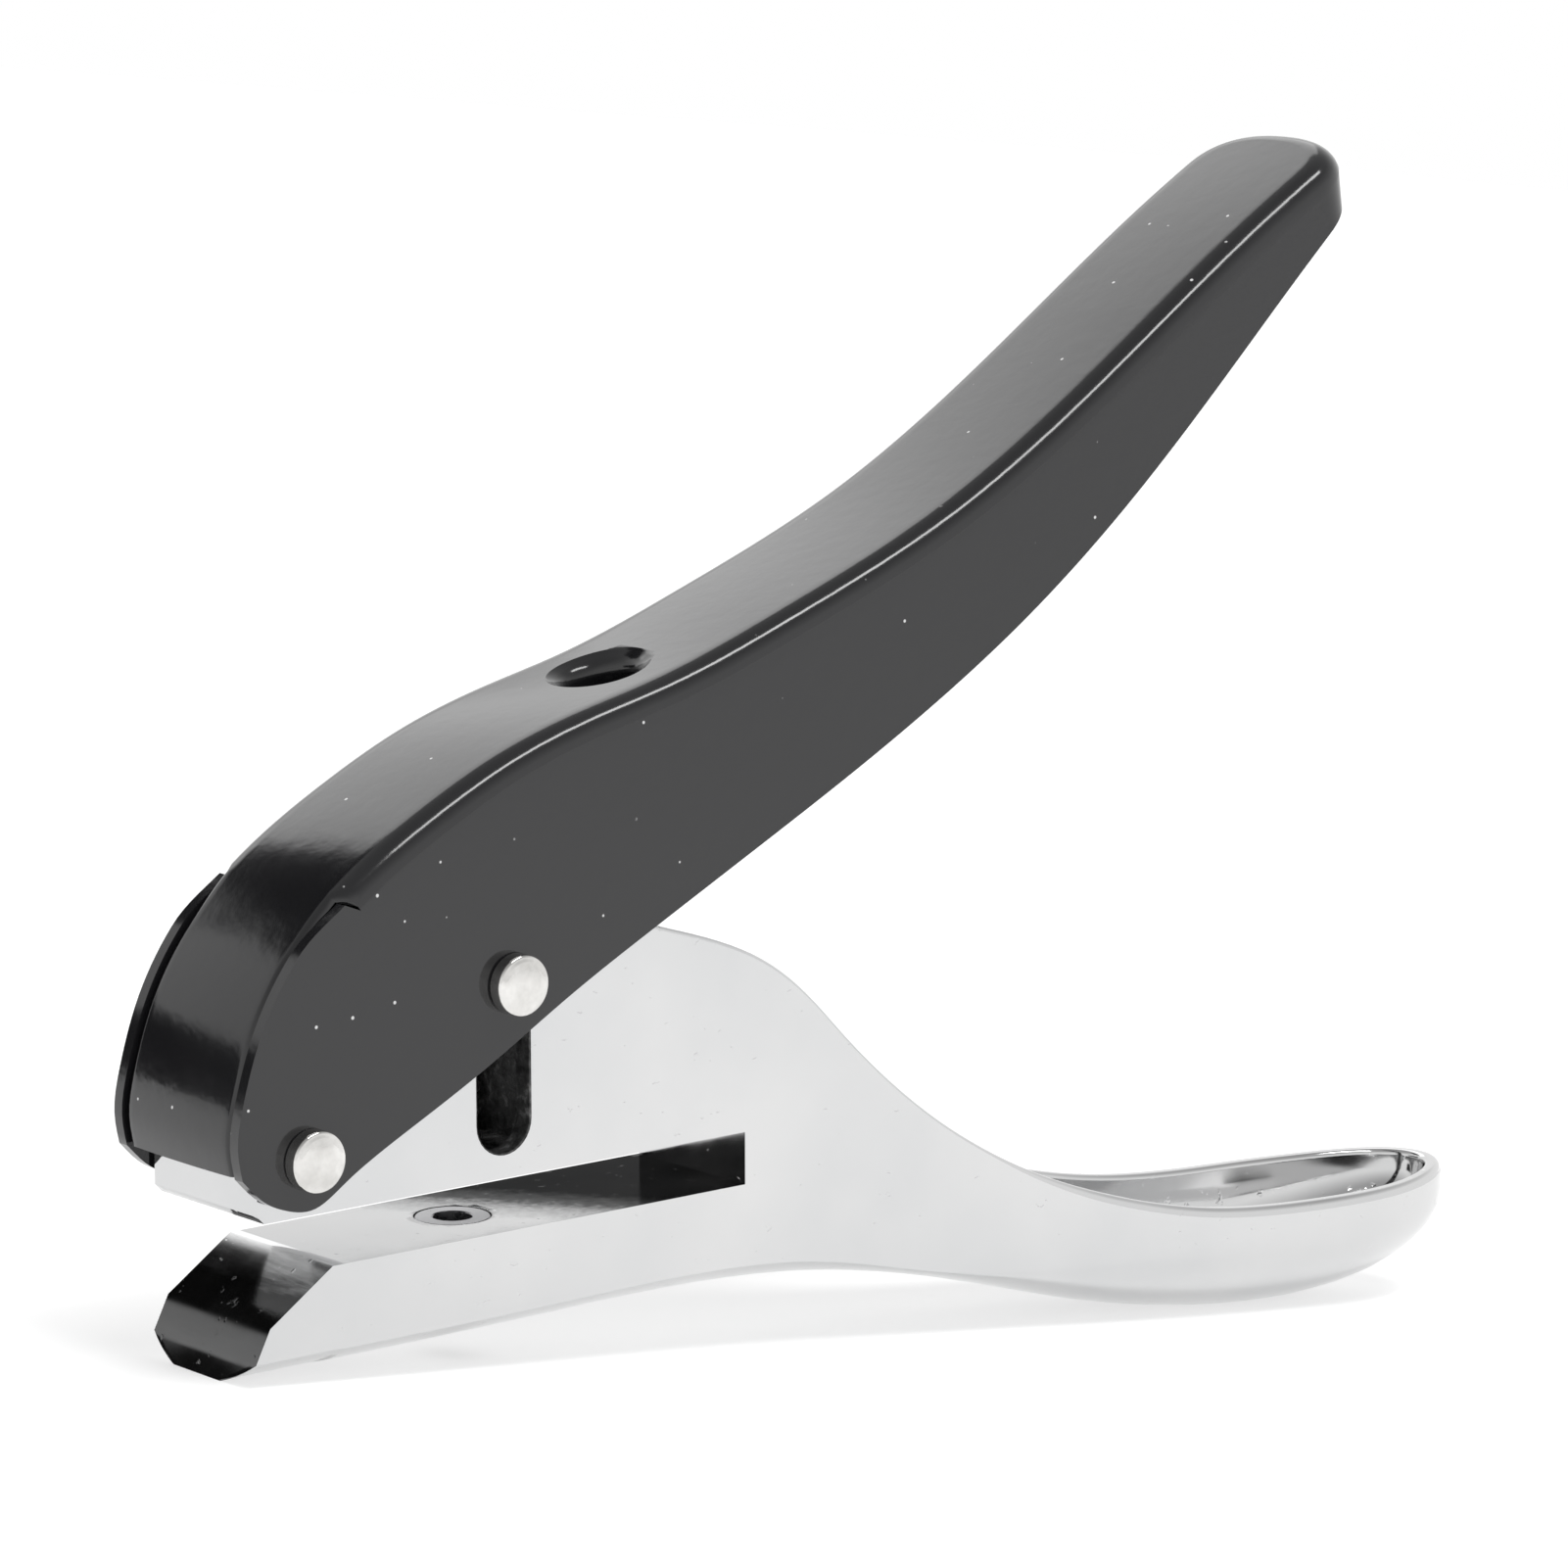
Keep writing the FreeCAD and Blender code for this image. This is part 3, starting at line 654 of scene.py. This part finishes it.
def build_frame():
    made = frame_shell()
    for material in (CHROME, AS_CAST, ANVIL_PAINTED_SHADE, RAMP_PAINTED_SHADE, RECESS_PAINTED_SHADE):
        made.data.materials.append(material)
    weigh_edges(made, angle=42, behind=30)
    round_weighted_edges(made, 0.18)
    mark_painted_shade_faces(made)
    well = [(-5.5, -4.9), (5.5, -4.9), (5.5, 4.9), (-5.5, 4.9)]
    slot = lambda extra: stadium((0, 8.4), (0, 18.8), 2.4 + extra)
    cut_away(made, [
        cutter("cut_well", [(5.3, well), (30, well)], "z"),
        cutter("cut_slot", flared(slot, (-JAW_HALF, JAW_HALF), 0.16), "y"),
        cutter("cut_guide", [(3, ring(1.53)), (7, ring(1.53))], "z"),
        cutter("cut_bush", [(-5, ring(2.97, 64)), (1, ring(2.97, 64))], "z"),
        cutter("cut_slug", [(-12, ring(2.1)), (-4, ring(2.1))], "z"),
    ])
    flatten_normals(made)
    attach(made, "frame")
    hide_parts("frame")
    return made


# ------------------------------------------------------------------ lever

LEVER_HALF = 7.9
SHEET = 1.0
EDGE_ROUND = 1.9
TIP_BEND = 6.0
# The flap in front of the notch lies lower than the web, and the cheek's edge dips at the notch.
NOTCH = 23.0
FLAP_DROP = 0.22
CHEEK_DIP = 0.6
CROWN = 0.18
COLLAR_X = 14.2
# Points (x, z) of the web line and of the lower edge, paired from the nose to the tip
LEVER_PAIRS = [
    ((-24.45, 7.9), (-24.3, 7.75)), ((-24.83, 10.2), (-22.9, 6.35)), ((-24.3, 13.5), (-21.0, 5.3)),
    ((-22.64, 18.37), (-18.3, 4.9)), ((-19.05, 23.97), (-14.8, 6.84)), ((-13.7, 28.7), (-9.0, 9.85)),
    ((-6.56, 32.88), (-2.0, 13.4)), ((0.7, 36.2), (5.5, 17.6)), ((8.05, 38.45), (13.5, 21.65)),
    ((15.52, 40.22), (22.5, 26.05)), ((27.0, 44.0), (33.45, 31.5)), ((42.7, 50.3), (48.6, 40.15)),
    ((59.0, 59.85), (64.0, 51.9)), ((75.8, 71.0), (78.9, 65.75)), ((85.4, 76.6), (86.2, 72.4)),
]
WEB = Line([pair[0] for pair in LEVER_PAIRS])
LOW = Line([pair[1] for pair in LEVER_PAIRS], knots=WEB.knots)


def web_point(along, y, lift=0.0):
    """A point over the web line at that distance from the nose, lifted square to it."""
    base = WEB.at(along)
    way = WEB.along(along)
    out = np.array([-way[1], way[0]])
    spot = base + out * lift
    return (float(spot[0]), y, float(spot[1]))


def lever_outline():
    """Stations round the near half of the plan: (along, y, outward direction along, outward y)."""
    straight = spread(0, WEB.length - TIP_BEND, 0.8)
    stations = [(t, -LEVER_HALF, 0.0, -1.0) for t in straight]
    power = 2.4
    for angle in np.linspace(0, math.pi / 2, 22)[1:]:
        a = math.sin(angle) ** (2 / power)
        b = math.cos(angle) ** (2 / power) if angle < math.pi / 2 - 1e-6 else 0.0
        slope = np.array([a ** (power - 1) / TIP_BEND, b ** (power - 1) / LEVER_HALF])
        slope /= np.linalg.norm(slope)
        stations.append((WEB.length - TIP_BEND + TIP_BEND * a, -LEVER_HALF * b, slope[0], -slope[1]))
    return stations


def crown(y):
    """Height of the web's gentle crown at y."""
    return CROWN * (1 - (y / LEVER_HALF) ** 2)


def build_lever():
    """Walls, rounded web and front flap of the sheet lever, with a drawn collar in the web."""
    rings, row_steps, wall_steps = 7, 26, 9
    builder = Builder()
    walls, webs = [], []
    for along, y, out_a, out_y in lever_outline():
        behind = along >= NOTCH
        radius = EDGE_ROUND if behind else 0.0
        sink = 0.0 if behind else CHEEK_DIP * smooth(along, NOTCH - 6, NOTCH)
        top = np.array(web_point(along, y, -radius - sink))
        low_x, low_z = LOW.at(along)
        low = np.array([low_x, y, low_z])
        walls.append([tuple(low + (top - low) * step / wall_steps) for step in range(wall_steps + 1)])
        row = []
        drop = FLAP_DROP * (1 - smooth(along, NOTCH - 5, NOTCH))
        for step in range(1, rings + 1):
            turn = math.pi / 2 * step / rings
            inset = EDGE_ROUND * (1 - math.cos(turn))
            lift = -EDGE_ROUND * (1 - math.sin(turn))
            if not behind:
                inset, lift = flap_edge(turn)
            lift -= drop
            row.append(web_point(along - inset * out_a, y - inset * out_y, lift + crown(y - inset * out_y)))
        inner_y = row[-1][1]
        inner_a = along - EDGE_ROUND * out_a if behind else along
        for step in range(1, row_steps + 1):
            across = inner_y * (1 - 2 * step / row_steps)
            row.append(web_point(inner_a, across, crown(across) - drop))
        far = [(x, -yy, z) for x, yy, z in row[:rings - 1]][::-1]
        webs.append((along, row + far))
    builder.mirrored_grid(walls)
    rear = [(walls[i], web) for i, (along, web) in enumerate(webs) if along >= NOTCH]
    builder.grid([[wall[-1]] + web + [(wall[-1][0], -wall[-1][1], wall[-1][2])] for wall, web in rear])
    front = [web for along, web in webs if along < NOTCH]
    builder.grid(front + [rear[0][1]])
    made = builder.make("lever_sheet")
    made.data.materials.append(BLACK)
    solid = made.modifiers.new("sheet", "SOLIDIFY")
    solid.thickness = SHEET * MM
    solid.offset = -1
    solid.use_even_offset = True
    apply_all(made)
    press_collar(made)
    flatten_normals(made, 40)
    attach(made, "lever")
    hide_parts("lever")
    return made


def press_collar(made):
    """The drawn collar in the web: a soft funnel into a short tube, square to the web."""
    along = next(t for t in spread(0, WEB.length, 0.05) if WEB.at(t)[0] > COLLAR_X)
    lean = math.atan2(*WEB.along(along)[::-1])
    spot = Vector(web_point(along, 0.0, crown(0.0))) * MM
    tube = lathe("collar_tube", [(0, -0.4), (3.7, -0.4), (3.7, -3.0), (0, -3.0)], (0, 0, 0), "z")
    funnel = [
        (0, -4), (2.7, -4), (2.7, -1.6), (2.82, -1.05), (3.1, -0.6), (3.5, -0.3), (3.95, -0.08), (4.5, 0.4),
        (0, 0.4),
    ]
    hollow = lathe("collar_hollow", funnel, (0, 0, 0), "z")
    for tool, operation in ((tube, "UNION"), (hollow, "DIFFERENCE")):
        tool.matrix_world = Matrix.Translation(spot) @ Matrix.Rotation(-lean, 4, "Y")
        tool.data.materials.append(BLACK)
        modifier = made.modifiers.new("collar", "BOOLEAN")
        modifier.operation = operation
        modifier.solver = "EXACT"
        modifier.object = tool
    bpy.context.view_layer.update()
    apply_all(made)
    bpy.data.objects.remove(tube)
    bpy.data.objects.remove(hollow)


def flap_edge(turn):
    """Inset and drop of the flap's rolled edge beside the cheek."""
    radius = 0.7
    reach = LEVER_HALF - SHEET - 0.15
    inset = LEVER_HALF - reach + radius * (1 - math.cos(turn))
    return inset, -radius * (1 - math.sin(turn))


# ------------------------------------------------------------------ rivets, bush, spring

def build_rivet(node, body):
    """Shank and two heads with a softly domed face and a rolled rim."""
    low, high = node_box(node)
    centre = ((low.x + high.x) / 2, 0.0, (low.z + high.z) / 2)
    reach = high.y
    radius = (high.x - low.x) / 2
    tall = 1.57
    dome = [(radius * s, reach - 0.24 * s**2) for s in (0.0, 0.25, 0.5, 0.7, 0.82)]
    rim = [
        (radius - 0.3 * (1 - math.sin(a)), reach - 0.26 - 0.3 * (1 - math.cos(a)))
        for a in np.linspace(0.0, math.pi / 2, 6)
    ]
    side = [(radius, reach - tall + 0.12), (radius - 0.1, reach - tall)]
    shank = [(1.2, reach - tall)]
    half = dome + rim + side + shank
    profile = half + [(r, -h) for r, h in half[::-1]]
    made = lathe(f"{node}_turned", profile, centre)
    made.data.materials.append(RIVET)
    shade(made, 38)
    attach(made, body)
    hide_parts(node)


def build_bush():
    """Die ring in the anvil, a touch below the chrome, with a broken edge at its hole."""
    low, high = node_box("die_bush")
    radius, hole = high.x, 1.5
    profile = [
        (hole, low.z), (hole, high.z - 0.12), (hole + 0.10, high.z - 0.02), (radius - 0.14, high.z - 0.02),
        (radius, high.z - 0.14), (radius, low.z), (hole, low.z),
    ]
    made = lathe("die_ring", profile, (0, 0, 0), "z", 96)
    made.data.materials.append(GROUND)
    shade(made, 30)
    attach(made, "frame")
    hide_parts("die_bush")


def build_spring():
    """Compression spring with closed ends."""
    low, high = node_box("return_spring")
    wire, turns, per_turn = 0.25, 5.0, 36
    coil = high.x - wire
    bottom, top = low.z + wire, high.z - wire
    rows = []
    total = turns + 1.5
    for step in range(int(total * per_turn) + 1):
        turn = step / per_turn
        share = min(max((turn - 0.75) / turns, 0.0), 1.0)
        centre_z = bottom + (top - bottom) * share
        angle = 2 * math.pi * turn
        row = []
        for k in range(13):
            a = 2 * math.pi * k / 12
            r = coil + wire * math.cos(a)
            row.append((r * math.cos(angle), r * math.sin(angle), centre_z + wire * math.sin(a)))
        rows.append(row)
    builder = Builder()
    builder.grid(rows)
    for end in (0, len(rows) - 1):
        first = end * 13
        builder.faces.append(list(range(first, first + 12)))
    made = builder.make("spring_coil")
    made.data.materials.append(WIRE)
    shade(made, 50)
    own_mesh(made)
    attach(made, "frame")
    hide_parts("return_spring")


# ------------------------------------------------------------------ stage, light, camera

# The tool rests on its nose and its spoon, so the floor leans against the part's own frame.
REST_NOSE = Vector((-20.2, 0, -8.3)) * MM
REST_SPOON = Vector((79.0, 0, -19.6)) * MM


def build_floor():
    run = (REST_SPOON - REST_NOSE).normalized()
    side = Vector((0, 1, 0))
    up = run.cross(side)
    size = 6.0
    middle = (REST_NOSE + REST_SPOON) / 2 - up * 0.0001
    corners = [middle + run * a * size + side * b * size for a, b in ((-1, -1), (1, -1), (1, 1), (-1, 1))]
    mesh = bpy.data.meshes.new("floor")
    mesh.from_pydata(corners, [], [(0, 1, 2, 3)])
    floor = bpy.data.objects.new("floor", mesh)
    bpy.context.scene.collection.objects.link(floor)
    material, nodes, links, shader = new_material("pale_floor")
    tone = ramp(nodes, links, object_noise(nodes, links, 3, 2), [(0.0, 0.50), (1.0, 0.54)])
    links.new(tone, shader.inputs["Base Color"])
    shader.inputs["Roughness"].default_value = 0.9
    shader.inputs["Emission Color"].default_value = (1.0, 1.0, 1.0, 1.0)
    shader.inputs["Emission Strength"].default_value = 0.55
    mesh.materials.append(material)


def area_light(name, place, target, size, power):
    data = bpy.data.lights.new(name, "AREA")
    data.shape = "RECTANGLE"
    data.size, data.size_y = size
    data.energy = power
    light = bpy.data.objects.new(name, data)
    light.location = place
    light.rotation_euler = (Vector(target) - Vector(place)).to_track_quat("-Z", "Y").to_euler()
    bpy.context.scene.collection.objects.link(light)


# Grey of the studio against the sine of the height above the horizon.
STUDIO_HEIGHT = [(0.0, 1.0), (0.30, 1.0), (0.75, 0.45), (1.0, 0.40)]
# Soft panels: turn from +Y toward +X, height, half sizes and soft edge in degrees, and brightness.
PANELS = [
    (24, 36, 22, 10, 6, 1.7),
    (-12, 40, 14, 7, 5, 0.02),
    (-34, 24, 14, 7, 4, 0.9),
    (-40, 6, 22, 6, 3, 0.02),
]


def sun_light(name, toward, strength, spread_angle):
    """Even light for the floor and the shapes. Mirrors do not show it."""
    data = bpy.data.lights.new(name, "SUN")
    data.energy = strength
    data.angle = math.radians(spread_angle)
    light = bpy.data.objects.new(name, data)
    light.rotation_euler = Vector(toward).to_track_quat("Z", "Y").to_euler()
    light.visible_glossy = False
    bpy.context.scene.collection.objects.link(light)


def build_world():
    """A pale studio: white at the horizon, grey overhead, with soft bright and dark panels."""
    world = bpy.data.worlds.new("studio")
    bpy.context.scene.world = world
    world.use_nodes = True
    nodes, links = world.node_tree.nodes, world.node_tree.links

    def math_node(kind, a, b=None):
        node = nodes.new("ShaderNodeMath")
        node.operation = kind
        for socket, value in zip(node.inputs, (a, b)):
            if value is None:
                continue
            if isinstance(value, (int, float)):
                socket.default_value = value
            else:
                links.new(value, socket)
        return node.outputs[0]

    def fade(value, middle, half, soft):
        """1 within half of the middle, easing to 0 over soft, all in degrees."""
        away = math_node("ABSOLUTE", math_node("SUBTRACT", value, math.radians(middle)))
        node = nodes.new("ShaderNodeMapRange")
        node.interpolation_type = "SMOOTHSTEP"
        links.new(away, node.inputs["Value"])
        node.inputs["From Min"].default_value = math.radians(half)
        node.inputs["From Max"].default_value = math.radians(half + soft)
        node.inputs["To Min"].default_value = 1
        node.inputs["To Max"].default_value = 0
        return node.outputs["Result"]

    place = nodes.new("ShaderNodeTexCoord")
    split = nodes.new("ShaderNodeSeparateXYZ")
    links.new(place.outputs["Generated"], split.inputs["Vector"])
    height = math_node("ARCSINE", split.outputs["Z"])
    turn = math_node("ARCTAN2", split.outputs["X"], split.outputs["Y"])
    light = ramp(nodes, links, split.outputs["Z"], STUDIO_HEIGHT)
    for az, el, half_az, half_el, soft, level in PANELS:
        mask = math_node("MULTIPLY", fade(turn, az, half_az, soft), fade(height, el, half_el, soft))
        change = math_node("MULTIPLY", math_node("SUBTRACT", level, light), mask)
        light = math_node("ADD", light, change)
    links.new(light, nodes["Background"].inputs["Color"])
    nodes["Background"].inputs["Strength"].default_value = 1.0


def build_camera():
    """The view that the tool is shown from, as a direction, a distance and a long lens."""
    azimuth, elevation, roll = math.radians(39.43), math.radians(10.45), math.radians(-0.10)
    level = math.cos(elevation)
    back = Vector((-math.sin(azimuth) * level, -math.cos(azimuth) * level, math.sin(elevation)))
    right = Vector((math.cos(azimuth), -math.sin(azimuth), 0))
    up = back.cross(right)
    turned_right = right * math.cos(roll) + up * math.sin(roll)
    turned_up = up * math.cos(roll) - right * math.sin(roll)
    shift = (-24.85 * MM, -32.34 * MM)
    distance = 500.0 * MM
    data = bpy.data.cameras.new("camera")
    data.lens = 153.13
    data.sensor_width = 36
    data.clip_start = 0.01
    data.clip_end = 50
    camera = bpy.data.objects.new("camera", data)
    camera.matrix_world = Matrix((
        (turned_right.x, turned_up.x, back.x, 0),
        (turned_right.y, turned_up.y, back.y, 0),
        (turned_right.z, turned_up.z, back.z, 0),
        (0, 0, 0, 1),
    ))
    camera.location = back * distance - turned_right * shift[0] - turned_up * shift[1]
    bpy.context.scene.collection.objects.link(camera)
    bpy.context.scene.camera = camera


build_frame()
build_lever()
build_rivet("front_rivet", "lever")
build_rivet("drive_rivet", "punch_carriage")
build_bush()
build_spring()
for node, material in (("punch", GROUND), ("punch_holder", ZINC), ("spring_washer", GROUND)):
    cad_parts[node].data.materials.clear()
    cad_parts[node].data.materials.append(material)

build_floor()
build_world()
sun_light("fill", (0.15, -0.35, 1.0), 1.15, 30)
area_light("key", (0.12, -0.22, 0.52), (0.04, 0, 0.04), (0.34, 0.07), 0.8)
build_camera()
bpy.context.scene.view_settings.view_transform = "Standard"
